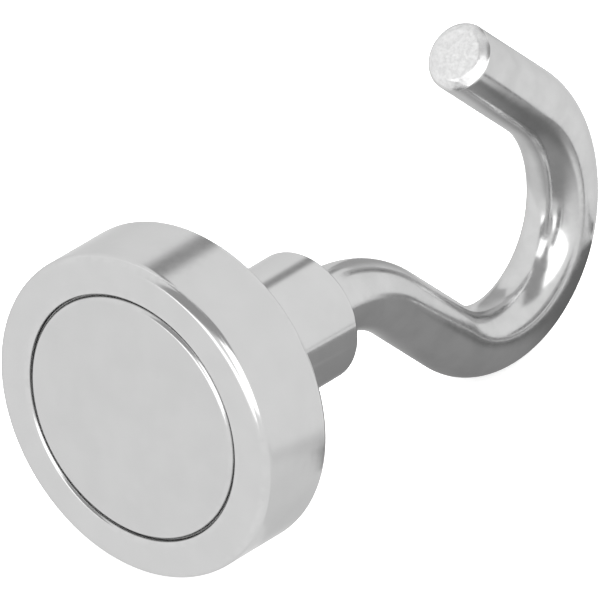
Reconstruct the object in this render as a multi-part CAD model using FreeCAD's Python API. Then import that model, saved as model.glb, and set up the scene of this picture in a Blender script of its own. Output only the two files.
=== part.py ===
"""Magnetic hook: a pot magnet with a turned stem and an open hook that screws into it.

Frame, in millimetres: the origin is the centre of the magnet's contact face. +Y runs
from that face along the axis to the hook, +Z is the way the hook's tip points, and +X
is to the right.  Turned pieces are drawn as (radius, y) outlines and spun about Y.
"""
import FreeCAD, Part

import math
import os

from FreeCAD import Vector

# ---- driving dimensions -------------------------------------------------------------

# pot: a mild-steel cup, open towards -Y
POT_R = 10.0
POT_HEIGHT = 5.5
POT_FRONT_ROUND = 0.6
POT_BACK_ROUND = 0.25
RECESS_R = 7.62
RECESS_DEPTH = 3.1
LIP_ROUND = 0.18

# magnet and the adhesive under and around it
MAGNET_R = 7.5
BOND_FILM = 0.1
MAGNET_ROUND = 0.3
BOND_RECESS = 0.32          # how far the adhesive in the gap lies below the face

# threaded bush, riveted into the pot's floor by its spigot
BUSH_R = 4.0
BUSH_END = 15.6
BUSH_EDGE = 0.2
SPIGOT_R = 3.0
FLARE_R = 3.55
FLARE_DEPTH = FLARE_R - SPIGOT_R

# M4 x 0.7 thread: half widths are measured along the axis
PITCH = 0.7
FLANK = math.tan(math.radians(30))
ROOT_R = 1.53               # hook's thread
CREST_R = 1.93
CREST_HALF = 0.045
DRILL_R = 1.65              # bush's thread
TAP_R = 2.02
TAP_CLEARANCE = 0.07        # along the axis, on each flank
TAP_DEPTH = 8.0             # from the bush's mouth

# hook: one bent rod, its threaded shank turned down at one end
ROD_R = 2.1
NECK_R = 1.5
NECK_START = 14.2
MOUTH_DEPTH = 0.65          # 45 degree countersink in the bush
SHANK_END = 8.2
SHANK_EDGE = 0.3
TIP_EDGE = 0.4

# hook's centre line, bend by bend; angles in degrees, + turns towards the tip
SHANK_STRAIGHT_END = 16.9
OFFSET_BEND_R, OFFSET_BEND = 9.4, -42
SLOPE_LENGTH = 6.1
BOWL_R, BOWL = 6.7, 121
CROWN_R, CROWN = 8.7, 59
TIP_LENGTH = 8.15

# ring of thread lock round the neck
LOCK_INNER_R = 1.53
LOCK_OUTER_R = 1.62
LOCK_SPAN = (14.27, 14.8)

AXIS = Vector(0, 1, 0)
ORIGIN = Vector(0, 0, 0)
OVERRUN = 0.5               # how far a cutter runs past what it cuts
RIB_FOOT = 0.1              # how far a rib's foot reaches below its root


# ---- helpers ------------------------------------------------------------------------

def turned(outline):
    """A solid spun about Y from a closed outline of (radius, y) corners."""
    corners = [Vector(radius, y, 0) for radius, y in outline]
    wire = Part.makePolygon(corners + corners[:1])
    return Part.Face(wire).revolve(ORIGIN, AXIS, 360)


def circles_at(shape, radius, y):
    """The shape's round edges of that radius about the axis, at that height."""
    def fits(edge):
        curve = edge.Curve
        if not isinstance(curve, Part.Circle):
            return False
        on_axis = curve.Center.distanceToPoint(Vector(0, y, 0)) < 1e-4
        return on_axis and abs(curve.Radius - radius) < 1e-4
    return [edge for edge in shape.Edges if fits(edge)]


def rounded(shape, radius, y, size):
    return shape.makeFillet(size, circles_at(shape, radius, y))


def helical_rib(inner_r, outer_r, outer_half, y_from, y_to):
    """A right-hand rib of 60 degree thread form round Y, wider at inner_r.

    Its turns sit at whole pitches from the origin, so a rib and a groove made with
    this function are always in step.
    """
    start = math.floor(y_from / PITCH) * PITCH
    inner_half = outer_half + FLANK * (outer_r - inner_r)
    corners = [
        Vector(inner_r, 0, -inner_half),
        Vector(outer_r, 0, -outer_half),
        Vector(outer_r, 0, outer_half),
        Vector(inner_r, 0, inner_half),
    ]
    section = Part.makePolygon(corners + corners[:1])
    helix = Part.makeHelix(PITCH, y_to - start, inner_r)
    rib = Part.Wire(helix.Edges).makePipeShell([section], True, True)
    rib.rotate(ORIGIN, Vector(1, 0, 0), -90)
    rib.translate(Vector(0, start, 0))
    return rib


# ---- the hook's centre line, in the YZ plane ----------------------------------------

def heading(angle):
    return Vector(0, math.cos(math.radians(angle)), math.sin(math.radians(angle)))


def run(start, angle, length):
    end = start + heading(angle) * length
    return Part.LineSegment(start, end).toShape(), end


def bend(start, angle, radius, turn):
    """A tangent arc from start: + turns anticlockwise, seen with +Y right and +Z up."""
    side = math.copysign(90, turn)
    centre = start + heading(angle + side) * radius
    middle = centre + heading(angle - side + turn / 2) * radius
    end = centre + heading(angle - side + turn) * radius
    return Part.Arc(start, middle, end).toShape(), end


def centre_line(y_start):
    edges = []
    point = Vector(0, y_start, 0)
    angle = 0.0

    edge, point = run(point, angle, SHANK_STRAIGHT_END - y_start)
    edges.append(edge)
    edge, point = bend(point, angle, OFFSET_BEND_R, OFFSET_BEND)
    edges.append(edge)
    angle += OFFSET_BEND
    edge, point = run(point, angle, SLOPE_LENGTH)
    edges.append(edge)
    for radius, turn in ((BOWL_R, BOWL), (CROWN_R, CROWN)):
        edge, point = bend(point, angle, radius, turn)
        edges.append(edge)
        angle += turn
    edge, point = run(point, angle, TIP_LENGTH)
    edges.append(edge)
    return Part.Wire(edges), point


# ---- pieces -------------------------------------------------------------------------

def steel_pot():
    """The cup, with a countersunk hole in its floor for the bush's spigot."""
    cup = turned([
        (RECESS_R, 0),
        (POT_R, 0),
        (POT_R, POT_HEIGHT),
        (SPIGOT_R, POT_HEIGHT),
        (SPIGOT_R, RECESS_DEPTH + FLARE_DEPTH),
        (FLARE_R, RECESS_DEPTH),
        (RECESS_R, RECESS_DEPTH),
    ])
    cup = rounded(cup, POT_R, 0, POT_FRONT_ROUND)
    cup = rounded(cup, POT_R, POT_HEIGHT, POT_BACK_ROUND)
    return rounded(cup, RECESS_R, 0, LIP_ROUND)


def disc_magnet():
    """A plain disc, flush with the cup's rim."""
    thickness = RECESS_DEPTH - BOND_FILM
    disc = turned([(0, 0), (MAGNET_R, 0), (MAGNET_R, thickness), (0, thickness)])
    disc = rounded(disc, MAGNET_R, 0, MAGNET_ROUND)
    return rounded(disc, MAGNET_R, thickness, MAGNET_ROUND)


def adhesive_bond():
    """What the magnet leaves of the recess, filled to just below the face."""
    recess = turned([
        (0, BOND_RECESS),
        (RECESS_R, BOND_RECESS),
        (RECESS_R, RECESS_DEPTH),
        (0, RECESS_DEPTH),
    ])
    return recess.cut(disc_magnet())


def threaded_bush():
    """The turned stem: spigot flared in the pot's floor, countersunk mouth, M4 thread."""
    mouth_r = DRILL_R + MOUTH_DEPTH
    body = turned([
        (DRILL_R, RECESS_DEPTH),
        (FLARE_R, RECESS_DEPTH),
        (SPIGOT_R, RECESS_DEPTH + FLARE_DEPTH),
        (SPIGOT_R, POT_HEIGHT),
        (BUSH_R, POT_HEIGHT),
        (BUSH_R, BUSH_END),
        (mouth_r, BUSH_END),
        (DRILL_R, BUSH_END - MOUTH_DEPTH),
    ])
    body = body.makeChamfer(BUSH_EDGE, circles_at(body, BUSH_R, BUSH_END))

    tap_start = BUSH_END - TAP_DEPTH
    tap_half = CREST_HALF + TAP_CLEARANCE - FLANK * (TAP_R - CREST_R)
    groove = helical_rib(
        DRILL_R - RIB_FOOT, TAP_R, tap_half, tap_start - PITCH, BUSH_END + 2 * PITCH)
    tapped_length = turned([
        (0, tap_start),
        (DRILL_R, tap_start),
        (TAP_R, tap_start + TAP_R - DRILL_R),
        (TAP_R + OVERRUN, tap_start + TAP_R - DRILL_R),
        (TAP_R + OVERRUN, BUSH_END + OVERRUN),
        (0, BUSH_END + OVERRUN),
    ])
    return body.cut(groove.common(tapped_length))


def screw_hook():
    """The bent rod with its M4 shank, neck and tapered shoulder."""
    neck_end = BUSH_END - MOUTH_DEPTH
    shoulder_end = neck_end + ROD_R - NECK_R
    core = turned([
        (0, SHANK_END),
        (ROOT_R - SHANK_EDGE, SHANK_END),
        (ROOT_R, SHANK_END + SHANK_EDGE),
        (ROOT_R, NECK_START),
        (NECK_R, NECK_START),
        (NECK_R, neck_end),
        (ROD_R, shoulder_end),
        (0, shoulder_end),
    ])
    rib = helical_rib(
        ROOT_R - RIB_FOOT, CREST_R, CREST_HALF, SHANK_END - PITCH, NECK_START + PITCH)
    past_crest = CREST_R - ROOT_R + OVERRUN
    thread_start = SHANK_END + SHANK_EDGE
    threaded_length = turned([
        (0, thread_start),
        (ROOT_R, thread_start),
        (ROOT_R + past_crest, thread_start + past_crest),
        (ROOT_R + past_crest, NECK_START - past_crest),
        (ROOT_R, NECK_START),
        (0, NECK_START),
    ])
    shank = core.fuse(rib.common(threaded_length))

    path, tip = centre_line(shoulder_end)
    start = Vector(0, shoulder_end, 0)
    section = Part.Wire(Part.makeCircle(ROD_R, start, AXIS))
    rod = path.makePipeShell([section], True, False)
    tip_edges = [
        edge for edge in rod.Edges
        if isinstance(edge.Curve, Part.Circle)
        and edge.Curve.Center.distanceToPoint(tip) < 1e-3
    ]
    rod = rod.makeChamfer(TIP_EDGE, tip_edges)
    return shank.fuse(rod).removeSplitter()


def thread_lock_ring():
    """A thin ring of cured thread lock round the shank's neck."""
    low, high = LOCK_SPAN
    return turned([
        (LOCK_INNER_R, low),
        (LOCK_OUTER_R, low),
        (LOCK_OUTER_R, high),
        (LOCK_INNER_R, high),
    ])


PIECES = {
    "steel_pot": steel_pot,
    "disc_magnet": disc_magnet,
    "adhesive_bond": adhesive_bond,
    "threaded_bush": threaded_bush,
    "thread_lock_ring": thread_lock_ring,
    "screw_hook": screw_hook,
}

os.makedirs("parts", exist_ok=True)
for name, make in PIECES.items():
    shape = make()
    shape.exportStep(f"parts/{name}.step")
    print(f"{name}: {len(shape.Solids)} solid, {shape.Volume:.2f} mm3, valid {shape.isValid()}")
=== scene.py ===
# %% [markdown]
# # A small magnetic hook, dressed in Blender
#
# The object is a nickel-plated pot magnet about 20 mm across. A disc magnet sits flush in
# a steel cup, a turned stem is riveted into the back of the cup, and an open hook made of
# bent rod screws into the stem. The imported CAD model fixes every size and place, and this
# script makes each visible piece again with smoother surfaces, finer edges and real
# finishes. Everything is in metres, with +Y from the magnet's face to the hook and +Z the
# way the hook's tip points.

import math

import bpy
import numpy as np
from mathutils import Matrix, Vector


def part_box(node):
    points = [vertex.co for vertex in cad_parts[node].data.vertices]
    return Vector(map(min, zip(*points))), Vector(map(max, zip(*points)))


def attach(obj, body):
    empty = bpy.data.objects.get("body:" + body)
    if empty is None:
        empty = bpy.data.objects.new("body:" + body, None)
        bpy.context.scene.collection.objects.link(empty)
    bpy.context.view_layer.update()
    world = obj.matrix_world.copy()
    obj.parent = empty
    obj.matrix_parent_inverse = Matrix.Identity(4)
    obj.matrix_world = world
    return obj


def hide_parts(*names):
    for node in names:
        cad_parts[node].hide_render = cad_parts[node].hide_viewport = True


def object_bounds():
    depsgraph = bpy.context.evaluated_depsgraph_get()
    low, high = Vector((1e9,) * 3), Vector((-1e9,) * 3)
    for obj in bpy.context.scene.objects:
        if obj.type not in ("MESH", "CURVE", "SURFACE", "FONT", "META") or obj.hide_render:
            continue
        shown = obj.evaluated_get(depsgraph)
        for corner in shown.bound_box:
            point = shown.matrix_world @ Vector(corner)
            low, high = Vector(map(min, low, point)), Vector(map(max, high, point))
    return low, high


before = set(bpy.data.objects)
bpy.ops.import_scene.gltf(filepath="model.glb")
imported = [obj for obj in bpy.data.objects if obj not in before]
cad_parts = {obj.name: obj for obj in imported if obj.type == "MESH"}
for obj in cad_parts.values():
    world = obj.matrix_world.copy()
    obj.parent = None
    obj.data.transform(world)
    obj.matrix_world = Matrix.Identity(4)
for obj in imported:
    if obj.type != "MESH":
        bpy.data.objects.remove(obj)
cad_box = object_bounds()
MM = 0.001
scene = bpy.context.scene

# %% [markdown]
# ## Sizes from the CAD boxes
#
# The CAD boxes give most sizes directly: half of the pot's width is its radius, and the
# far end of the stem's box is where the hook goes in. Only what a box can't say, such as
# a corner's rounding or the hook's bends, is written out, in millimetres, with the names
# that a drawing would use.

# %% Read the main sizes
def round_sizes(node):
    """A round piece's radius, and where it starts and ends along the axis."""
    low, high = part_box(node)
    return high.x, low.y, high.y


POT_R, _, POT_BACK = round_sizes("steel_pot")
DISC_R, _, DISC_BACK = round_sizes("disc_magnet")
RECESS_R, GLUE_FRONT, RECESS_FLOOR = round_sizes("adhesive_bond")
BUSH_R, _, BUSH_END = round_sizes("threaded_bush")
LOCK_R, LOCK_START, LOCK_END = round_sizes("thread_lock_ring")
ROD_R, SHANK_END, _ = round_sizes("screw_hook")
print(f"pot radius {POT_R / MM:.2f} mm, stem end {BUSH_END / MM:.2f} mm, rod {ROD_R / MM:.3f} mm")

# %% Sizes that a drawing would add
PITCH = 0.7 * MM
MOUTH = 0.65 * MM           # the countersink that the hook's shoulder sits in
NECK_R = 1.5 * MM
NECK_END = BUSH_END - MOUTH
SHOULDER_END = NECK_END + ROD_R - NECK_R

# the rod's bends in order: (radius, angle), with the straight run that follows each one
FIRST_RUN = 16.9 * MM
BENDS = [(9.4 * MM, -42, 6.1 * MM), (6.7 * MM, 121, 0.0), (8.7 * MM, 59, 8.15 * MM)]
ROD_END = FIRST_RUN + sum(r * math.radians(abs(a)) + run for r, a, run in BENDS)
print(f"rod, end to end along its centre line: {(ROD_END - SHANK_END) / MM:.1f} mm")

# %% [markdown]
# ## Node trees in a few words
#
# Both the finishes and the shapes further down are node trees. Written out link by link
# they get long and hard to read, so four small helpers do the wiring: one adds a node
# and feeds it, one does arithmetic, one measures a distance, and one turns a stretch of
# values into another with soft ends.

# %% Helpers for any node tree
def wired(tree, kind, *sources, **settings):
    """Adds a node, sets its properties, and feeds its inputs with sockets or values."""
    node = tree.nodes.new(kind)
    for key, value in settings.items():
        setattr(node, key, value)
    for socket, source in zip(node.inputs, sources):
        if source is None:
            continue
        if isinstance(source, bpy.types.NodeSocket):
            tree.links.new(source, socket)
        else:
            socket.default_value = source
    return node


def maths(tree, operation, *sources):
    return wired(tree, "ShaderNodeMath", *sources, operation=operation).outputs[0]


def distance(tree, a, b):
    """The length of the right-angled pair (a, b)."""
    return maths(tree, "SQRT", maths(tree, "ADD", maths(tree, "MULTIPLY", a, a),
                                     maths(tree, "MULTIPLY", b, b)))


def eased(tree, value, low, high, at_low=0.0, at_high=1.0):
    """Turns values from low to high into at_low to at_high, levelling out at both ends."""
    return wired(tree, "ShaderNodeMapRange", value, low, high, at_low, at_high,
                 interpolation_type="SMOOTHSTEP").outputs[0]


# %% [markdown]
# ## Nickel plate
#
# Every bright piece here is plated with nickel, but the metal under the plate was worked
# in different ways, and the plate copies it. The cup was drawn and tumbled, the disc was
# ground, the stem was turned and the rod was pulled through a die. A metallic Principled
# shader gives the mirror. What tells the pieces apart is a little cloudiness in the grey
# and in the roughness, and fine tool marks as bump.
#
# Wear belongs on edges, where pieces rub in the box and in the hand. The Bevel node or
# Pointiness could find the edges, but these pieces are round, so the edges are rings whose
# radius and height are known, and the distance to such a ring gives a cleaner mask. It is
# broken up with noise, because nothing wears evenly.

# %% Helpers for finishes
def new_finish(name):
    """A material with its tree and its Principled shader."""
    material = bpy.data.materials.new(name)
    material.use_nodes = True
    return material, material.node_tree, material.node_tree.nodes["Principled BSDF"]


def noise(tree, place, size, detail=2.0, roughness=0.5):
    """Smooth noise from 0 to 1 whose blobs are about size across."""
    return wired(tree, "ShaderNodeTexNoise", place, None, 1 / size, detail, roughness,
                 noise_dimensions="3D").outputs[0]


def object_place(tree):
    return wired(tree, "ShaderNodeTexCoord").outputs["Object"]


def bumpy(tree, shader, pattern, height):
    """Gives the shader the pattern's relief, height deep."""
    bump = wired(tree, "ShaderNodeBump")
    bump.inputs["Distance"].default_value = height
    tree.links.new(pattern, bump.inputs["Height"])
    tree.links.new(bump.outputs[0], shader.inputs["Normal"])


def radius_and_y(tree, place):
    """A point's distance from the Y axis, and its place along it."""
    x, y, z = wired(tree, "ShaderNodeSeparateXYZ", place).outputs
    return distance(tree, x, z), y


WORN_THROUGH = 0.3          # the share of the reach that is worn all the way


def worn_rings(tree, place, rings, reach):
    """1 on the edges given as (radius, y) rings, fading to 0 within reach, broken by noise."""
    radius, y = radius_and_y(tree, place)
    total = None
    for ring_radius, ring_y in rings:
        away = distance(tree, maths(tree, "SUBTRACT", radius, ring_radius),
                        maths(tree, "SUBTRACT", y, ring_y))
        near = eased(tree, away, reach, WORN_THROUGH * reach)
        total = near if total is None else maths(tree, "MAXIMUM", total, near)
    breaks = eased(tree, noise(tree, place, 0.5 * MM, 3.0), 0.35, 0.6)
    return maths(tree, "MULTIPLY", total, breaks)


# %% The plating recipe
WEAR_GREY = 0.025           # how much lighter rubbed nickel is
WEAR_POLISH = 0.04          # and how much smoother
EDGE_ON_TINT = (0.78, 0.78, 0.78, 1)    # keeps the plate from whitening at a glancing angle
CLOUD_SIZE = 2.5 * MM
HAZE_SIZE = 0.4 * MM


def nickel(name, grey, roughness, marks, mark_height, edges, reach, place_of=object_place):
    """Nickel plate over tool marks; grey and roughness are (low, high) pairs."""
    material, tree, shader = new_finish(name)
    place = place_of(tree)
    cloud = noise(tree, place, CLOUD_SIZE, 3.0)
    haze = noise(tree, place, HAZE_SIZE, 4.0, 0.6)
    worn = worn_rings(tree, place, edges, reach)
    plain = eased(tree, cloud, 0.3, 0.7, *grey)
    tree.links.new(maths(tree, "ADD", plain, maths(tree, "MULTIPLY", worn, WEAR_GREY)),
                   shader.inputs["Base Color"])
    dull = eased(tree, haze, 0.3, 0.7, *roughness)
    tree.links.new(maths(tree, "SUBTRACT", dull, maths(tree, "MULTIPLY", worn, WEAR_POLISH)),
                   shader.inputs["Roughness"])
    bumpy(tree, shader, marks(tree, place), mark_height)
    shader.inputs["Metallic"].default_value = 1.0
    shader.inputs["Specular Tint"].default_value = EDGE_ON_TINT
    return material, tree, shader


# %% [markdown]
# ## Four ways to work metal
#
# The marks are noise, stretched the way the tool moved. A tumbled surface has none, only
# a faint orange-peel ripple. On a turned piece the marks run round, so the noise reads
# the radius and the height and nothing else. On a drawn rod they run lengthwise, so it
# reads the cross-section finely and the length coarsely. The rod is bent later, so its
# finish reads an attribute that remembers where each point lay on the straight rod.

# %% Marks left by tumbling, turning and drawing
RIPPLE_SIZE = 0.9 * MM      # a tumbled piece's orange peel
TURNING_SIZE = 0.09 * MM    # the lathe tool's feed
DRAWING_SIZE = 0.35 * MM    # lines left by the die
DRAWING_STRETCH = 50        # how much longer than wide they are


def tumbled(tree, place):
    return noise(tree, place, RIPPLE_SIZE, 2.0)


def turned(tree, place):
    radius, y = radius_and_y(tree, place)
    ring = wired(tree, "ShaderNodeCombineXYZ", radius, y)
    return noise(tree, ring.outputs[0], TURNING_SIZE, 2.0)


def drawn(tree, place):
    squeezed = wired(tree, "ShaderNodeVectorMath", place, (1.0, 1 / DRAWING_STRETCH, 1.0),
                     operation="MULTIPLY")
    return noise(tree, squeezed.outputs[0], DRAWING_SIZE, 3.0)


ALONG_THE_ROD = "place_on_straight_rod"


def straight_rod_place(tree):
    return wired(tree, "ShaderNodeAttribute", attribute_name=ALONG_THE_ROD).outputs["Vector"]


# %% Plate the cup, the disc and the stem
MICRON = 1e-6
cup_finish, _, _ = nickel(
    "nickel_on_drawn_cup", grey=(0.615, 0.635), roughness=(0.13, 0.18), marks=tumbled,
    mark_height=0.9 * MICRON, edges=[(POT_R, 0), (POT_R, POT_BACK), (RECESS_R, 0)],
    reach=0.5 * MM)
disc_finish, _, _ = nickel(
    "nickel_on_ground_disc", grey=(0.60, 0.62), roughness=(0.14, 0.20), marks=tumbled,
    mark_height=0.9 * MICRON, edges=[(DISC_R, 0)], reach=0.4 * MM)
stem_finish, _, _ = nickel(
    "nickel_on_turned_stem", grey=(0.62, 0.65), roughness=(0.12, 0.17), marks=turned,
    mark_height=0.25 * MICRON, edges=[(BUSH_R, BUSH_END), (NECK_R + MOUTH, BUSH_END)],
    reach=0.35 * MM)
print("plated finishes:", cup_finish.name, disc_finish.name, stem_finish.name)

# %% [markdown]
# ## The rod's finish
#
# The rod is plated like the rest, apart from its cropped end. The shear tore that face,
# and nickel over a torn face is pale and matt. A mask along the straight rod, which is 0
# on the wall and 1 on the face, moves the recipe's grey and roughness to a second pair
# there.

# %% Plate the rod and dull its cropped end
FACE_GREY = (0.72, 0.86)
FACE_ROUGHNESS = (0.36, 0.5)
FACE_STARTS, FACE_FULL = 0.40 * MM, 0.22 * MM   # where the mask rises, short of the rod's end
TORN_SIZE = 0.3 * MM


def blended(tree, mask, socket, second):
    """Feeds the socket a mix of what it already had and a second value, by the mask."""
    first = socket.links[0].from_socket
    step = maths(tree, "MULTIPLY", maths(tree, "SUBTRACT", second, first), mask)
    tree.links.new(maths(tree, "ADD", first, step), socket)


rod_finish, tree, shader = nickel(
    "nickel_on_drawn_rod", grey=(0.58, 0.65), roughness=(0.13, 0.21), marks=drawn,
    mark_height=1.7 * MICRON, edges=[(ROD_R, SHOULDER_END)], reach=0.3 * MM,
    place_of=straight_rod_place)
place = straight_rod_place(tree)
on_face = eased(tree, radius_and_y(tree, place)[1], ROD_END - FACE_STARTS, ROD_END - FACE_FULL)
torn = noise(tree, place, TORN_SIZE, 5.0, 0.7)
blended(tree, on_face, shader.inputs["Base Color"], eased(tree, torn, 0.3, 0.7, *FACE_GREY))
blended(tree, on_face, shader.inputs["Roughness"], eased(tree, torn, 0.7, 0.3, *FACE_ROUGHNESS))
print("rod finish:", len(tree.nodes), "nodes")

# %% [markdown]
# ## Adhesive and thread lock
#
# Both are cured resins. The adhesive is a grey epoxy that was wiped while soft, so it is
# uneven and half matt. The thread lock is a blue resin that has soaked into the neck.
# Neither is a metal, so the Principled shader keeps its plain gloss, and only the colour,
# the roughness and the ripple vary.

# %% Mix the resins
RESIN_CLOUD_SIZE = 0.8 * MM
RESIN_RIPPLE_SIZE = 0.3 * MM


def resin(name, dark, light, roughness, ripple):
    """A cured resin: colour cloudy between dark and light, roughness a (low, high) pair."""
    material, tree, shader = new_finish(name)
    place = object_place(tree)
    cloud = noise(tree, place, RESIN_CLOUD_SIZE, 3.0)
    colour = wired(tree, "ShaderNodeMix", data_type="RGBA")
    tree.links.new(cloud, colour.inputs[0])
    colour.inputs[6].default_value = (*dark, 1)
    colour.inputs[7].default_value = (*light, 1)
    tree.links.new(colour.outputs[2], shader.inputs["Base Color"])
    tree.links.new(eased(tree, cloud, 0.3, 0.7, *roughness), shader.inputs["Roughness"])
    bumpy(tree, shader, noise(tree, place, RESIN_RIPPLE_SIZE, 2.0), ripple)
    return material


glue_finish = resin("grey_epoxy", dark=(0.14, 0.14, 0.14), light=(0.28, 0.28, 0.28),
                    roughness=(0.4, 0.6), ripple=8 * MICRON)
lock_finish = resin("blue_thread_lock", dark=(0.01, 0.05, 0.30), light=(0.02, 0.10, 0.50),
                    roughness=(0.3, 0.5), ripple=5 * MICRON)
print("resins:", glue_finish.name, lock_finish.name)

# %% [markdown]
# ## Turned pieces
#
# The cup, the disc, the stem and the straight blank of the hook are all round about one
# axis, so each is an outline spun about that axis. A Screw modifier or bmesh's spin could
# do it. Here the rings are written out one by one, because then every point's place on the
# outline is known, poles close on one vertex, and the faces come out as an even grid of
# quads that reflects cleanly.
#
# Nothing machined has a truly sharp edge, so every corner of an outline carries its own
# rounding, and the helper below turns it into a short arc.

# %% Round the corners of an outline
ARC_STEPS = 8


def rounded_outline(corners, closed=False):
    """Points along an outline of (radius, y, rounding) corners, in metres."""
    points = []
    for i, (radius, y, rounding) in enumerate(corners):
        here = np.array([radius, y])
        at_an_end = not closed and i in (0, len(corners) - 1)
        if rounding == 0 or at_an_end:
            points.append(here)
            continue
        back = np.array(corners[i - 1][:2]) - here
        ahead = np.array(corners[(i + 1) % len(corners)][:2]) - here
        back, ahead = back / np.linalg.norm(back), ahead / np.linalg.norm(ahead)
        half = math.acos(np.clip(back @ ahead, -1, 1)) / 2
        middle = (back + ahead) / np.linalg.norm(back + ahead)
        centre = here + middle * rounding / math.sin(half)
        first = here + back * rounding / math.tan(half) - centre
        last = here + ahead * rounding / math.tan(half) - centre
        turn = math.atan2(first[0] * last[1] - first[1] * last[0], first @ last)
        for step in range(ARC_STEPS + 1):
            c, s = math.cos(turn * step / ARC_STEPS), math.sin(turn * step / ARC_STEPS)
            points.append(centre + np.array([first[0] * c - first[1] * s,
                                             first[0] * s + first[1] * c]))
    return points


def filled(points, spacing):
    """The same outline with extra points, so that no stretch is longer than spacing."""
    out = [points[0]]
    for before, after in zip(points, points[1:]):
        parts = max(1, math.ceil(np.linalg.norm(after - before) / spacing))
        out += [before + (after - before) * k / parts for k in range(1, parts + 1)]
    return out


# %% Spin an outline about the Y axis
ON_AXIS = 1e-9              # a radius this small counts as none


def in_scene(name, data):
    made = bpy.data.objects.new(name, data)
    scene.collection.objects.link(made)
    return made


def mesh_object(name, points, faces, material=None):
    mesh = bpy.data.meshes.new(name)
    mesh.from_pydata(points, [], faces)
    if material:
        mesh.materials.append(material)
    return in_scene(name, mesh)


def spun(name, points, sides, material=None, closed=False):
    """A mesh object from (radius, y) points; a point on the axis becomes one pole.

    Seen in section with +Y to the right, an outline that runs clockwise round its metal
    gives faces that point outwards.
    """
    turn = np.linspace(0, 2 * math.pi, sides, endpoint=False)
    verts, rings = [], []
    for radius, y in points:
        if radius < ON_AXIS:
            rings.append([len(verts)] * sides)
            verts.append((0.0, y, 0.0))
        else:
            rings.append(list(range(len(verts), len(verts) + sides)))
            verts += [(radius * math.sin(a), y, radius * math.cos(a)) for a in turn]
    pairs = list(zip(rings, rings[1:]))
    if closed:
        pairs.append((rings[-1], rings[0]))
    faces = []
    for a, b in pairs:
        for k in range(sides):
            corners = dict.fromkeys((a[k], a[(k + 1) % sides], b[(k + 1) % sides], b[k]))
            if len(corners) > 2:        # a stretch along the axis has no surface
                faces.append(list(corners))
    made = mesh_object(name, verts, faces, material)
    made.data.shade_smooth()
    return made


# %% [markdown]
# ## Keeping flat faces flat
#
# Smooth shading averages the directions of the faces round a vertex. Beside a tiny
# rounded edge that would tilt the shading of the large flat face next to it, and on bright
# plating the tilt shows as a smear. The Weighted Normal modifier counts each face by its
# area, so flats win and the roundings take up the turn, which is what bevelled metal does.

# %% Freeze an object's modifiers into its mesh
def settled(obj):
    """Adds weighted normals, turns the evaluated result into a plain mesh, drops modifiers."""
    obj.modifiers.new("flats win", "WEIGHTED_NORMAL").mode = "FACE_AREA"
    ready = obj.evaluated_get(bpy.context.evaluated_depsgraph_get())
    mesh = bpy.data.meshes.new_from_object(ready)
    obj.modifiers.clear()
    mesh.name = obj.name
    obj.data = mesh
    print(f"{obj.name}: {len(mesh.vertices)} vertices, {len(mesh.polygons)} faces")
    return obj


# %% [markdown]
# ## The cup
#
# On the real magnet this is a deep-drawn steel cup. It carries the magnet's field round
# from the back to the rim, so that nearly all the pull is on the front. Its front corner
# has a generous rounding, its back corner a small one, and the inner lip is barely
# broken. The hole in its floor takes the stem's riveted spigot.

# %% Turn the cup
SIDES = 256
EDGE = 0.05 * MM            # an edge that is only deburred
POT_FRONT_ROUND = 0.6 * MM
POT_BACK_ROUND = 0.25 * MM
LIP_ROUND = 0.18 * MM
SPIGOT_R = 3.0 * MM
FLARE_R = 3.55 * MM
FLARE_TOP = RECESS_FLOOR + FLARE_R - SPIGOT_R

cup = spun("pot_cup", rounded_outline([
    (RECESS_R, 0, LIP_ROUND),
    (POT_R, 0, POT_FRONT_ROUND),
    (POT_R, POT_BACK, POT_BACK_ROUND),
    (SPIGOT_R, POT_BACK, EDGE),
    (SPIGOT_R, FLARE_TOP, EDGE),
    (FLARE_R, RECESS_FLOOR, EDGE),
    (RECESS_R, RECESS_FLOOR, EDGE),
], closed=True), SIDES, cup_finish, closed=True)
settled(cup)

# %% [markdown]
# ## The magnet and the adhesive round it
#
# The disc is sintered neodymium, ground flat and tumbled before it is plated, so its edge
# is rounder than the cup's lip. Between the two is a hair-wide gap. The adhesive stops
# short of the face, and that shadowed groove is the thin dark ring that makes the disc
# read as a separate piece.

# %% Turn the disc and fill the groove
DISC_ROUND = 0.3 * MM
disc = spun("magnet_disc", rounded_outline([
    (0, 0, 0),
    (DISC_R, 0, DISC_ROUND),
    (DISC_R, DISC_BACK, DISC_ROUND),
    (0, DISC_BACK, 0),
]), SIDES, disc_finish)
settled(disc)

glue = spun("adhesive_fill", rounded_outline([
    (DISC_R, GLUE_FRONT, 0),
    (RECESS_R, GLUE_FRONT, 0),
    (RECESS_R, RECESS_FLOOR, EDGE),
    (0, RECESS_FLOOR, 0),
    (0, DISC_BACK, 0),
    (DISC_R - DISC_ROUND, DISC_BACK, 0),
    (DISC_R, DISC_BACK - DISC_ROUND, 0),
]), SIDES, glue_finish, closed=True)
settled(glue)

# %% [markdown]
# ## A rule for screw threads
#
# A thread is a ridge whose height depends on one number: how far along its own pitch a
# point lies. That number is `y / pitch - angle / full turn`, less its whole part. A
# geometry node tree can move every point of a plainly turned wall outwards by that rule,
# with the pitch, the depth and the ends as named inputs. The same tree cuts the outside
# thread of the hook and the inside thread of the stem, so the two always mesh.

# %% Helpers for geometry trees
def new_tree(name, inputs):
    """A geometry node tree with a geometry in and out and its named inputs."""
    tree = bpy.data.node_groups.new(name, "GeometryNodeTree")
    tree.interface.new_socket("Geometry", in_out="OUTPUT", socket_type="NodeSocketGeometry")
    tree.interface.new_socket("Geometry", in_out="INPUT", socket_type="NodeSocketGeometry")
    for label, socket_type in inputs:
        tree.interface.new_socket(label, in_out="INPUT", socket_type=socket_type)
    return tree


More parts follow.
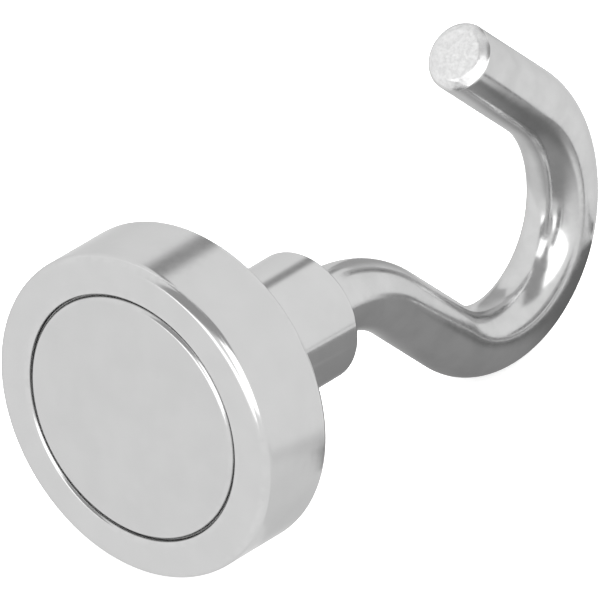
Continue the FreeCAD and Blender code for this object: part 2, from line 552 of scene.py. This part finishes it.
def close_tree(tree, geometry, material):
    """Every tree ends alike: instances made real, the material set, and out."""
    real = wired(tree, "GeometryNodeRealizeInstances", geometry)
    coated = wired(tree, "GeometryNodeSetMaterial", real.outputs[0])
    tree.links.new(material, coated.inputs["Material"])
    wired(tree, "NodeGroupOutput", coated.outputs[0])
    return tree


def run_tree(obj, tree, **values):
    """Adds the tree to obj as a modifier and sets its named inputs by their identifiers."""
    modifier = obj.modifiers.new(tree.name, "NODES")
    modifier.node_group = tree
    for item in tree.interface.items_tree:
        label = item.name.lower().replace(" ", "_")
        if item.in_out == "INPUT" and label in values:
            modifier[item.identifier] = values[label]
    return modifier


# %% The thread tree
THREAD_ANGLE = 60           # between the two sides of a ridge, in degrees


def thread_tree():
    """Moves wall points out to a thread that runs from Start to End along Y."""
    tree = new_tree("screw_thread", [
        ("Root Radius", "NodeSocketFloat"),
        ("Depth", "NodeSocketFloat"),
        ("Crest Half Width", "NodeSocketFloat"),
        ("Pitch", "NodeSocketFloat"),
        ("Start", "NodeSocketFloat"),
        ("End", "NodeSocketFloat"),
        ("Material", "NodeSocketMaterial"),
    ])
    given = tree.nodes.new("NodeGroupInput").outputs
    place = wired(tree, "GeometryNodeInputPosition").outputs[0]
    x, y, z = wired(tree, "ShaderNodeSeparateXYZ", place).outputs
    radius = distance(tree, x, z)
    # a right-hand helix about +Y: the angle that grows from +Z towards +X
    share = maths(tree, "DIVIDE", maths(tree, "ARCTAN2", x, z), 2 * math.pi)
    phase = maths(tree, "SUBTRACT", maths(tree, "DIVIDE", y, given["Pitch"]), share)
    # distance along the axis to the nearest crest
    from_crest = maths(tree, "MULTIPLY", given["Pitch"],
                       maths(tree, "ABSOLUTE", maths(tree, "SUBTRACT", phase,
                                                     maths(tree, "ROUND", phase))))
    slope = math.tan(math.radians(THREAD_ANGLE))
    fall = maths(tree, "MULTIPLY", slope,
                 maths(tree, "SUBTRACT", from_crest, given["Crest Half Width"]))
    ridge = maths(tree, "SUBTRACT", given["Depth"], fall)
    for limit in (given["Depth"],
                  maths(tree, "SUBTRACT", y, given["Start"]),
                  maths(tree, "SUBTRACT", given["End"], y)):
        ridge = maths(tree, "MINIMUM", ridge, limit)
    ridge = maths(tree, "MAXIMUM", ridge, 0.0)
    wanted = maths(tree, "MAXIMUM", radius, maths(tree, "ADD", given["Root Radius"], ridge))
    stretch = maths(tree, "DIVIDE", wanted, maths(tree, "MAXIMUM", radius, ON_AXIS))
    moved = wired(tree, "ShaderNodeCombineXYZ", maths(tree, "MULTIPLY", x, stretch), y,
                  maths(tree, "MULTIPLY", z, stretch))
    on_wall = wired(tree, "FunctionNodeCompare", radius,
                    maths(tree, "SUBTRACT", given["Root Radius"], MICRON),
                    data_type="FLOAT", operation="GREATER_THAN")
    placed = wired(tree, "GeometryNodeSetPosition", given["Geometry"],
                   on_wall.outputs[0], moved.outputs[0])
    return close_tree(tree, placed.outputs[0], given["Material"])


screw_thread = thread_tree()
print("thread tree:", len(screw_thread.nodes), "nodes")

# %% [markdown]
# ## The stem
#
# A turned bush with an M4 thread. Its lower end is a spigot that goes through the cup's
# floor and is flared into a countersink, and its mouth is countersunk so that the hook's
# shoulder seats in it. The bore gets rings packed close enough to draw the thread.

# %% Turn and tap the stem
DRILL_R = 1.65 * MM
TAP_R = 2.02 * MM
TAP_CREST_HALF = 0.063 * MM
TAP_DEPTH = 8.0 * MM
STEM_EDGE = 0.2 * MM
THREAD_RINGS = 0.035 * MM   # spacing of the rings that draw a thread
THREAD_SIDES = 128

outside = rounded_outline([
    (DRILL_R, RECESS_FLOOR, 0),
    (FLARE_R, RECESS_FLOOR, EDGE),
    (SPIGOT_R, FLARE_TOP, EDGE),
    (SPIGOT_R, POT_BACK, EDGE),
    (BUSH_R, POT_BACK, EDGE),
    (BUSH_R, BUSH_END, STEM_EDGE),
    (DRILL_R + MOUTH, BUSH_END, EDGE),
    (DRILL_R, BUSH_END - MOUTH, 0),
])
tapped = [np.array([DRILL_R, BUSH_END - MOUTH]), np.array([DRILL_R, BUSH_END - TAP_DEPTH])]
mouth_and_bore = filled([outside[-2]] + tapped, THREAD_RINGS)[1:]
stem = spun("threaded_stem", outside[:-1] + mouth_and_bore, THREAD_SIDES, closed=True)
run_tree(stem, screw_thread, root_radius=DRILL_R, depth=TAP_R - DRILL_R,
         crest_half_width=TAP_CREST_HALF, pitch=PITCH,
         start=BUSH_END - TAP_DEPTH, end=BUSH_END + PITCH, material=stem_finish)
settled(stem)

# %% [markdown]
# ## The hook, made as a workshop makes it
#
# The real hook starts as a straight rod. One end is turned down and threaded, the other
# is cropped, and then the rod is bent round formers. The same order works here: turn a
# straight blank, thread it, roughen the cropped end, and bend the result along its centre
# line. Sweeping a circle along a curve would also give the rod, but not the shoulder, the
# thread and the end in one closed surface.

# %% Turn the straight blank
CORE_R = 1.53 * MM
CREST_R = 1.93 * MM
CREST_HALF = 0.045 * MM
NECK_START = 14.2 * MM
SHANK_EDGE = 0.3 * MM
TIP_EDGE = 0.43 * MM        # the cropped end's blunt edge: its length along the rod
TIP_FACE_R = 1.55 * MM      # and the radius of the face that it leaves
TIP_WALL_ROUND = 0.15 * MM
TIP_FACE_ROUND = 0.25 * MM

ROD_RINGS = 0.15 * MM       # spacing of the rings along the rod
CAP_RINGS = 0.07 * MM       # and over the cropped end
HOOK_SIDES = 112

shank_points = rounded_outline([
    (0, SHANK_END, 0),
    (CORE_R - SHANK_EDGE, SHANK_END, EDGE),
    (CORE_R, SHANK_END + SHANK_EDGE, EDGE),
    (CORE_R, NECK_START, 0),
])
neck_points = rounded_outline([
    (CORE_R, NECK_START, 0),
    (NECK_R, NECK_START + CORE_R - NECK_R, 0),
    (NECK_R, NECK_END, EDGE),
    (ROD_R, SHOULDER_END, EDGE),
    (ROD_R, SHOULDER_END + ROD_RINGS, 0),
])
tip_points = rounded_outline([
    (ROD_R, ROD_END - 2 * TIP_EDGE, 0),
    (ROD_R, ROD_END - TIP_EDGE, TIP_WALL_ROUND),
    (TIP_FACE_R, ROD_END, TIP_FACE_ROUND),
    (0, ROD_END, 0),
])[1:]
rod_points = [neck_points[-1], tip_points[0]]
blank = (filled(shank_points, THREAD_RINGS) + filled(neck_points, ROD_RINGS)[1:]
         + filled(rod_points, ROD_RINGS)[1:] + filled(tip_points, CAP_RINGS)[1:])
hook = spun("bent_hook", blank, HOOK_SIDES)
print(f"straight blank: {(ROD_END - SHANK_END) / MM:.1f} mm long, {len(blank)} rings")

# %% [markdown]
# ## The centre line
#
# The bends are arcs that meet the straights without a kink. A Bezier segment of up to 45
# degrees follows a circle to a few parts in a million when its handles are
# `4/3 * tan(angle / 4)` of the radius, so each bend is cut into such segments.

# %% Lay out the centre line
LINE_EXTRA = 1.0 * MM       # runs on past the tip, so that the rough end has a line to follow
LONGEST_ARC = 45            # one Bezier segment's share of a bend, in degrees
LINE_STEPS = 200            # straight steps that each segment is worked out in


def heading(angle):
    return Vector((0, math.cos(angle), math.sin(angle)))


def centre_line():
    """A Bezier curve object in the YZ plane, from the shank's end to just past the tip."""
    knots = [[Vector((0, SHANK_END, 0)), 0.0, 0.0, 0.0]]   # place, heading, handles in and out

    def go_on(length):
        place, angle = knots[-1][:2]
        knots[-1][3] = length / 3
        knots.append([place + heading(angle) * length, angle, length / 3, 0.0])

    go_on(FIRST_RUN - SHANK_END)
    for radius, degrees, run in BENDS:
        steps = math.ceil(abs(degrees) / LONGEST_ARC)
        turn = math.radians(degrees) / steps
        handle = radius * 4 / 3 * math.tan(abs(turn) / 4)
        for _ in range(steps):
            place, angle = knots[-1][:2]
            chord = 2 * radius * math.sin(abs(turn) / 2)
            knots[-1][3] = handle
            knots.append([place + heading(angle + turn / 2) * chord, angle + turn, handle, 0.0])
        if run:
            go_on(run)
    go_on(LINE_EXTRA)

    curve = bpy.data.curves.new("hook_centre_line", "CURVE")
    curve.dimensions = "3D"
    curve.resolution_u = LINE_STEPS
    spline = curve.splines.new("BEZIER")
    spline.bezier_points.add(len(knots) - 1)
    for point, (place, angle, before, after) in zip(spline.bezier_points, knots):
        point.handle_left_type = point.handle_right_type = "FREE"
        point.co = place
        point.handle_left = place - heading(angle) * before
        point.handle_right = place + heading(angle) * after
    return in_scene("hook_centre_line", curve), knots[-2][0]


line, tip_centre = centre_line()
print("tip centre, mm:", [round(v / MM, 2) for v in tip_centre])

# %% [markdown]
# ## The cropped end
#
# The tip is the one face that nobody finished: the rod was cropped, tumbled and plated
# over. Its face is dimpled and its edge is softened unevenly. A second tree moves the
# points near the end by two layers of noise, a broad one that tilts and dents the face
# and a fine one that grains it, before the blank is bent.

# %% The cropped-end tree
def cropped_end_tree():
    tree = new_tree("cropped_end", [
        ("End", "NodeSocketFloat"),
        ("Reach", "NodeSocketFloat"),
        ("Dent Depth", "NodeSocketFloat"),
        ("Dent Size", "NodeSocketFloat"),
        ("Grain Depth", "NodeSocketFloat"),
        ("Grain Size", "NodeSocketFloat"),
        ("Seed", "NodeSocketFloat"),
        ("Material", "NodeSocketMaterial"),
    ])
    given = tree.nodes.new("NodeGroupInput").outputs
    place = wired(tree, "GeometryNodeInputPosition").outputs[0]
    y = wired(tree, "ShaderNodeSeparateXYZ", place).outputs[1]
    start = maths(tree, "SUBTRACT", given["End"], given["Reach"])
    share = maths(tree, "DIVIDE", maths(tree, "SUBTRACT", y, start), given["Reach"])
    near = wired(tree, "ShaderNodeClamp", share, 0.0, 1.0)
    total = None
    for size, amount in (("Dent Size", "Dent Depth"), ("Grain Size", "Grain Depth")):
        lumps = wired(tree, "ShaderNodeTexNoise", place, given["Seed"],
                      maths(tree, "DIVIDE", 1.0, given[size]), 3.0, 0.6,
                      noise_dimensions="4D")
        shift = maths(tree, "MULTIPLY", given[amount],
                      maths(tree, "SUBTRACT", lumps.outputs[0], 0.5))
        total = shift if total is None else maths(tree, "ADD", total, shift)
    drop = maths(tree, "MULTIPLY", total, near.outputs[0])
    outwards = wired(tree, "GeometryNodeInputNormal").outputs[0]
    offset = wired(tree, "ShaderNodeVectorMath", outwards, operation="SCALE")
    tree.links.new(drop, offset.inputs["Scale"])
    placed = wired(tree, "GeometryNodeSetPosition", given["Geometry"], None, None,
                   offset.outputs[0])
    return close_tree(tree, placed.outputs[0], given["Material"])


cropped_end = cropped_end_tree()
print("cropped-end tree:", len(cropped_end.nodes), "nodes")

# %% [markdown]
# ## Bending
#
# The bending tree is the former. Each point of the straight blank has a distance along
# the rod, its y, and an offset from the axis, its x and z. Sample Curve looks up the
# centre line at that distance, and the offset is laid out there, x across the plane of
# the bends and z square to the line within it.

# %% The bending tree
def bending_tree():
    tree = new_tree("bend_along_line", [
        ("Line", "NodeSocketObject"),
        ("Line Start", "NodeSocketFloat"),
        ("Material", "NodeSocketMaterial"),
    ])
    given = tree.nodes.new("NodeGroupInput").outputs
    straight = wired(tree, "GeometryNodeInputPosition").outputs[0]
    marked = wired(tree, "GeometryNodeStoreNamedAttribute", given["Geometry"], None,
                   ALONG_THE_ROD, straight, data_type="FLOAT_VECTOR", domain="POINT")
    x, y, z = wired(tree, "ShaderNodeSeparateXYZ", straight).outputs
    curve = wired(tree, "GeometryNodeObjectInfo", given["Line"])
    sample = tree.nodes.new("GeometryNodeSampleCurve")
    sample.mode = "LENGTH"
    sample.data_type = "FLOAT"
    tree.links.new(curve.outputs["Geometry"], sample.inputs["Curves"])
    tree.links.new(maths(tree, "SUBTRACT", y, given["Line Start"]), sample.inputs["Length"])
    across = (1.0, 0.0, 0.0)
    upright = wired(tree, "ShaderNodeVectorMath", across, sample.outputs["Tangent"],
                    operation="CROSS_PRODUCT")
    rise = wired(tree, "ShaderNodeVectorMath", upright.outputs[0], operation="SCALE")
    tree.links.new(z, rise.inputs["Scale"])
    sideways = wired(tree, "ShaderNodeCombineXYZ", x)
    offset = wired(tree, "ShaderNodeVectorMath", sideways.outputs[0], rise.outputs[0],
                   operation="ADD")
    target = wired(tree, "ShaderNodeVectorMath", sample.outputs["Position"], offset.outputs[0],
                   operation="ADD")
    placed = wired(tree, "GeometryNodeSetPosition", marked.outputs[0], None, target.outputs[0])
    return close_tree(tree, placed.outputs[0], given["Material"])


bend_along_line = bending_tree()
print("bending tree:", len(bend_along_line.nodes), "nodes")

# %% Thread, crop and bend the blank
run_tree(hook, screw_thread, root_radius=CORE_R, depth=CREST_R - CORE_R,
         crest_half_width=CREST_HALF, pitch=PITCH,
         start=SHANK_END + SHANK_EDGE, end=NECK_START, material=rod_finish)
run_tree(hook, cropped_end, end=ROD_END, reach=TIP_EDGE, dent_depth=0.30 * MM,
         dent_size=1.3 * MM, grain_depth=0.10 * MM, grain_size=0.28 * MM, seed=3.0,
         material=rod_finish)
run_tree(hook, bend_along_line, line=line, line_start=SHANK_END, material=rod_finish)
settled(hook)
bpy.data.objects.remove(line)

# %% [markdown]
# ## The ring of thread lock
#
# A drop of thread lock cures as a thin sleeve round the neck, below the shoulder. It is
# out of sight until the hook is unscrewed.

# %% Turn the ring
LOCK_INNER_R = 1.53 * MM
LOCK_SIDES = 96
lock = spun("thread_lock", rounded_outline([
    (LOCK_INNER_R, LOCK_START, 0),
    (LOCK_R, LOCK_START, 0),
    (LOCK_R, LOCK_END, 0),
    (LOCK_INNER_R, LOCK_END, 0),
], closed=True), LOCK_SIDES, lock_finish, closed=True)
settled(lock)

# %% [markdown]
# ## The camera
#
# Product pictures of small hardware are taken from well back with a long lens, so that a
# 20 mm disc doesn't balloon towards the viewer. This one stands 1.2 m away, to the right
# of the contact face and above it, leaning a little.

# %% Place the camera
CAMERA_AZIMUTH, CAMERA_ELEVATION, CAMERA_ROLL = map(math.radians, (41.12, 27.07, -3.11))
CAMERA_DISTANCE = 1.2
VIEW_WIDTH = 34.46 * MM     # what the frame takes in at the target
TARGET = Vector((0, 15 * MM, 0))
SHIFT_RIGHT, SHIFT_UP = 0.074 * MM, 1.101 * MM

back = Vector((math.sin(CAMERA_AZIMUTH) * math.cos(CAMERA_ELEVATION),
               -math.cos(CAMERA_AZIMUTH) * math.cos(CAMERA_ELEVATION),
               math.sin(CAMERA_ELEVATION)))
level = Vector((math.cos(CAMERA_AZIMUTH), math.sin(CAMERA_AZIMUTH), 0))
upright = back.cross(level)
right = level * math.cos(CAMERA_ROLL) + upright * math.sin(CAMERA_ROLL)
up = upright * math.cos(CAMERA_ROLL) - level * math.sin(CAMERA_ROLL)

camera = in_scene("camera", bpy.data.cameras.new("camera"))
scene.camera = camera
place = TARGET + right * SHIFT_RIGHT + up * SHIFT_UP + back * CAMERA_DISTANCE
camera.matrix_world = (Matrix.Translation(place)
                       @ Matrix((right, up, back)).transposed().to_4x4())
camera.data.lens = camera.data.sensor_width * CAMERA_DISTANCE / VIEW_WIDTH
camera.data.clip_start = 0.01
print(f"lens {camera.data.lens:.0f} mm at {CAMERA_DISTANCE} m")

# %% [markdown]
# ## The floor
#
# A sheet of white paper on a light table, so that it reads as plain white round the
# object: the glow from below thins the shadows. It is hidden from reflections: the tent and
# the painted reflections below say what the metal sees, in every direction, and the paper
# would only repeat them.

# %% Lay the floor
FLOOR_GAP = 0.08 * MM
floor_z = cad_box[0][2] - FLOOR_GAP
FLOOR_HALF = 0.8
PAPER_WHITE = (0.90, 0.92)
TABLE_GLOW = 0.6

paper, tree, shader = new_finish("white_paper")
fibres = noise(tree, object_place(tree), 1.5 * MM, 4.0)
tree.links.new(eased(tree, fibres, 0.3, 0.7, *PAPER_WHITE), shader.inputs["Base Color"])
shader.inputs["Roughness"].default_value = 0.95
shader.inputs["Specular IOR Level"].default_value = 0.0
shader.inputs["Emission Color"].default_value = (1, 1, 1, 1)
shader.inputs["Emission Strength"].default_value = TABLE_GLOW


def on_stage(name, points, faces, material):
    """A mesh for the studio; this only makes the mesh object."""
    made = mesh_object(name, points, faces, material)
    return made


floor = on_stage("floor", [(x * FLOOR_HALF, y * FLOOR_HALF, floor_z)
                           for x, y in ((-1, -1), (1, -1), (1, 1), (-1, 1))],
                 [range(4)], paper)
floor.visible_glossy = False
print(f"floor at {floor_z / MM:.2f} mm")

# %% [markdown]
# ## What the metal sees
#
# Bright plating has no colour of its own: it shows the studio. Product studios surround
# such a piece with white and then place a few dark cards, because without them the metal
# melts into the white. The world below is that white tent. Soft-edged panels are mixed
# into it by direction: bright ones for the softboxes, dark ones for the gaps between them.
# The camera itself sees plain white, so no panel shows behind the object from any side.

# %% The white tent and its panels
def aim(azimuth, elevation):
    """A unit vector; azimuth 0 is +Y and 90 is +X, in degrees."""
    a, e = math.radians(azimuth), math.radians(elevation)
    return Vector((math.sin(a) * math.cos(e), math.cos(a) * math.cos(e), math.sin(e)))


def dot(tree, a, b):
    node = wired(tree, "ShaderNodeVectorMath", a, tuple(b), operation="DOT_PRODUCT")
    return node.outputs["Value"]


def steady(tree, number):
    """A socket that always gives the same number."""
    value = wired(tree, "ShaderNodeValue").outputs[0]
    value.default_value = number
    return value


def panel(tree, direction, light, azimuth, elevation, width, height, edge, brightness, tilt):
    """Mixes one soft rectangle into the light; its width, height and edge are in degrees."""
    centre = aim(azimuth, elevation)
    level = aim(azimuth + 90, 0)
    rise = level.cross(centre)
    c, s = math.cos(math.radians(tilt)), math.sin(math.radians(tilt))
    ahead = maths(tree, "MAXIMUM", dot(tree, direction, centre), 1e-3)
    mask = maths(tree, "GREATER_THAN", dot(tree, direction, centre), 0.0)
    for axis, size in ((level * c + rise * s, width), (rise * c - level * s, height)):
        off = maths(tree, "DIVIDE", maths(tree, "ABSOLUTE", dot(tree, direction, axis)), ahead)
        outer, inner = (math.tan(math.radians(size / 2 + d)) for d in (edge / 2, -edge / 2))
        mask = maths(tree, "MULTIPLY", mask, eased(tree, off, outer, inner))
    step = maths(tree, "MULTIPLY", maths(tree, "SUBTRACT", brightness, light), mask)
    return maths(tree, "ADD", light, step)


TENT = 1.0
PANELS = [
    # azimuth, elevation, width, height, edge, brightness, tilt
    (135, 68, 84, 36, 12, 0.42, 0),     # unlit ceiling
    (122, 23, 52, 42, 6, 2.4, 0),       # main softbox, to the right of the magnet
    (175, -1, 64, 18, 5, 2.2, 0),       # its lower wing, in front
    (193, 50, 64, 90, 5, 0.42, 38.5),   # a dark flag above the wing
    (227, 20, 46, 120, 5, 1.0, 0),      # the tent again, past the flag
    (-28.5, 50, 9, 50, 6, 0.38, 0),     # a gap in the tent at the back
]

world = bpy.data.worlds.new("white_tent")
scene.world = world
world.use_nodes = True
tree = world.node_tree
direction = wired(tree, "ShaderNodeTexCoord").outputs["Generated"]
light = steady(tree, TENT)
for numbers in PANELS:
    light = panel(tree, direction, light, *numbers)
to_camera = wired(tree, "ShaderNodeLightPath").outputs["Is Camera Ray"]
plain = maths(tree, "MULTIPLY", maths(tree, "SUBTRACT", TENT, light), to_camera)
tree.links.new(maths(tree, "ADD", light, plain), tree.nodes["Background"].inputs["Color"])
print("tent:", len(PANELS), "panels,", len(tree.nodes), "nodes")

# %% [markdown]
# ## Painted reflections
#
# A panel of the tent is far away, so every piece sees it in the same direction. A sheet
# close by is seen by some pieces and not by others. These sheets are painted reflections:
# they glow, and only reflections see them; the camera, the floor and the shadows don't.
# The largest lies under the hook, with one leaning up behind it, and these two are painted
# shade that gives the hook and the stem their dark bellies while the cup stays light. The
# rest are narrow and stand upright. They paint the dark band and the streaks inside the
# bend, and the last of them glows brightly and hangs above the cup as a painted highlight.
# The leaning sheet's upper side is white like the tent, so that the tip, which looks down
# on it, sees no painted shade.

# %% Helpers for painted reflections
def painted_reflection(name, corners, faces, shade, white_back=False):
    """A painted reflection: a glowing sheet that only reflections see, through corners in mm;
    shade gives its brightness.
    """
    material = bpy.data.materials.new(name)
    material.use_nodes = True
    tree = material.node_tree
    tree.nodes.clear()
    glow = shade(tree, *wired(tree, "ShaderNodeSeparateXYZ", object_place(tree)).outputs)
    if white_back:
        behind = wired(tree, "ShaderNodeNewGeometry").outputs["Backfacing"]
        glow = maths(tree, "MAXIMUM", glow, maths(tree, "MULTIPLY", behind, TENT))
    light = wired(tree, "ShaderNodeEmission", None, glow)
    wired(tree, "ShaderNodeOutputMaterial", light.outputs[0])
    made = on_stage(name, [Vector(c) * MM for c in corners], faces, material)
    made.visible_camera = made.visible_diffuse = made.visible_shadow = False
    print(f"{name}: {len(corners)} corners")


def strip(feet_and_tops):
    """Corners and faces of a sheet that stands on its feet: pairs of (x, y, z) points."""
    corners = [corner for pair in feet_and_tops for corner in pair]
    faces = [(i, i + 2, i + 3, i + 1) for i in range(0, len(corners) - 2, 2)]
    return corners, faces


def even(brightness):
    return lambda tree, x, y, z: steady(tree, brightness)


# %% Lay the painted floor shade under the hook
PAINTED_SHEET_Z = floor_z / MM + 0.02        # just clear of the floor, in millimetres


def shade_under_hook(tree, x, y, z):
    """Painted floor shade, seen only in reflections: darkest behind the bend, and fading out to
    the right, to the left and in front.
    """
    dark = eased(tree, y, 33 * MM, 39 * MM, 0.64, 0.80)
    right = maths(tree, "MULTIPLY", eased(tree, x, 9 * MM, 27 * MM),
                  eased(tree, y, 13 * MM, 22 * MM, 0.3, 1.0))
    slant = maths(tree, "SUBTRACT", x, eased(tree, y, 39 * MM, 45 * MM, 0.0, 4.5 * MM))
    corner = maths(tree, "MULTIPLY", eased(tree, y, 36 * MM, 40 * MM),
                   eased(tree, slant, 12 * MM, 16 * MM))
    for fade in (maths(tree, "MAXIMUM", right, corner),
                 eased(tree, x, 1 * MM, -10 * MM, 0.0, 0.75),
                 eased(tree, y, 21 * MM, 13 * MM, 0.0, 0.8)):
        dark = maths(tree, "MULTIPLY", dark, maths(tree, "SUBTRACT", 1.0, fade))
    return maths(tree, "SUBTRACT", 1.0, dark)


outline = [(-22, 8), (5, 6), (44, 6), (40, 18), (30, 30), (30, 45), (17.5, 45.9), (2.5, 48.6),
           (-18, 47)]
# painted shade: a dark sheet that only reflections see stands for the floor's shade under the
# hook
painted_reflection("card_under_hook", [(x, y, PAINTED_SHEET_Z) for x, y in outline], [range(len(outline))],
     shade_under_hook)

# %% Stand the other painted reflections
def shade_far(tree, x, y, z):
    near = eased(tree, x, 8 * MM, 36 * MM, 0.24, 0.5)
    return maths(tree, "ADD", near, eased(tree, x, 38 * MM, 56 * MM, 0.0, 0.5))


def shade_flap(tree, x, y, z):
    return eased(tree, z, -6.5 * MM, -2.8 * MM, 0.25, 0.7)


def shade_gap(tree, x, y, z):
    return eased(tree, z, -6 * MM, 6 * MM, 0.34, 0.5)


def shade_left(tree, x, y, z):
    return eased(tree, x, -5 * MM, -14 * MM, 0.8, 0.55)


# painted reflections: dark sheets that only reflections see paint dark bands and streaks into the
# metal; the far one's upper side paints the tent's white
painted_reflection("far_card", *strip([
    ((2.5, 49.5, PAINTED_SHEET_Z), (2.5, 46.5, -7.6)),
    ((9, 49.5, PAINTED_SHEET_Z), (9, 46.5, -7.8)),
    ((16, 49.5, PAINTED_SHEET_Z), (16, 46.5, -8.3)),
    ((56, 49.5, PAINTED_SHEET_Z), (56, 46.5, -8.3)),
]), shade_far, white_back=True)
painted_reflection("flap_behind_bend", *strip([
    ((11.6, 43.2, -9.0), (11.6, 43.2, -8.4)),
    ((13, 43.4, -7.4), (13, 43.4, -5.7)),
    ((15.2, 42.2, -6.9), (15.2, 42.2, -3.8)),
    ((17, 40.2, -6.5), (17, 40.2, -2.6)),
    ((17.6, 38.9, -6.2), (17.6, 38.9, -3.3)),
]), shade_flap)
painted_reflection("card_beside_rod", *strip([
    ((7.5, 30.7, PAINTED_SHEET_Z), (7.5, 30.7, -3.2)),
    ((16, 20, PAINTED_SHEET_Z), (16, 20, -3.2)),
]), even(0.37))
painted_reflection("gap_card", *strip([
    ((12.3, 12.3, PAINTED_SHEET_Z), (12.3, 12.3, 8)),
    ((17.3, 15.3, PAINTED_SHEET_Z), (17.3, 15.3, 8)),
]), shade_gap)
painted_reflection("left_card", *strip([
    ((-5.5, 48, -6), (-5.5, 48, 18)),
    ((-20, 44, -6), (-20, 44, 18)),
]), shade_left)
# painted highlight: a bright sheet that only reflections see lights nothing and puts a highlight
# on the cup
painted_reflection("softbox_above_cup", *strip([
    ((-10, 0.3, 11), (-10, 0.3, 33)),
    ((8, 0.3, 11), (8, 0.3, 33)),
]), even(2.0))

# %% [markdown]
# ## Light for the paper
#
# The tent and the light table light the paper evenly. One large soft lamp overhead lifts
# it to plain white. It is kept out of reflections too.

# %% Hang the overhead lamp
LAMP_SIZE, LAMP_HEIGHT, LAMP_POWER = 0.6, 0.8, 9.0

lamp = in_scene("overhead", bpy.data.lights.new("overhead", "AREA"))
lamp.data.size = LAMP_SIZE
lamp.data.energy = LAMP_POWER
lamp.location = (0, 0, LAMP_HEIGHT)
lamp.visible_glossy = lamp.visible_camera = False
scene.view_settings.view_transform = "Standard"
print(f"overhead lamp: {LAMP_POWER} W at {LAMP_HEIGHT} m")

# %% [markdown]
# ## Attaching the pieces to their bodies
#
# Each piece rides on the CAD body that it belongs to and stands for one CAD node, which is
# hidden. Each row also lists the record's material slot for the piece, which is not used.

# %% Ride and replace
for piece, node, body, slot in (
        (cup, "steel_pot", "magnet", "pot_plating"),
        (disc, "disc_magnet", "magnet", "magnet_plating"),
        (glue, "adhesive_bond", "magnet", "adhesive"),
        (stem, "threaded_bush", "magnet", "bush_plating"),
        (lock, "thread_lock_ring", "thread_carrier", "thread_lock"),
        (hook, "screw_hook", "hook", "hook_plating")):
    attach(piece, body)
    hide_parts(node)
    print(f"{piece.name} stands for {node} and rides on {body}")

# %% Print the CAD box
print("CAD box, mm:", [[round(v / MM, 2) for v in c] for c in cad_box])
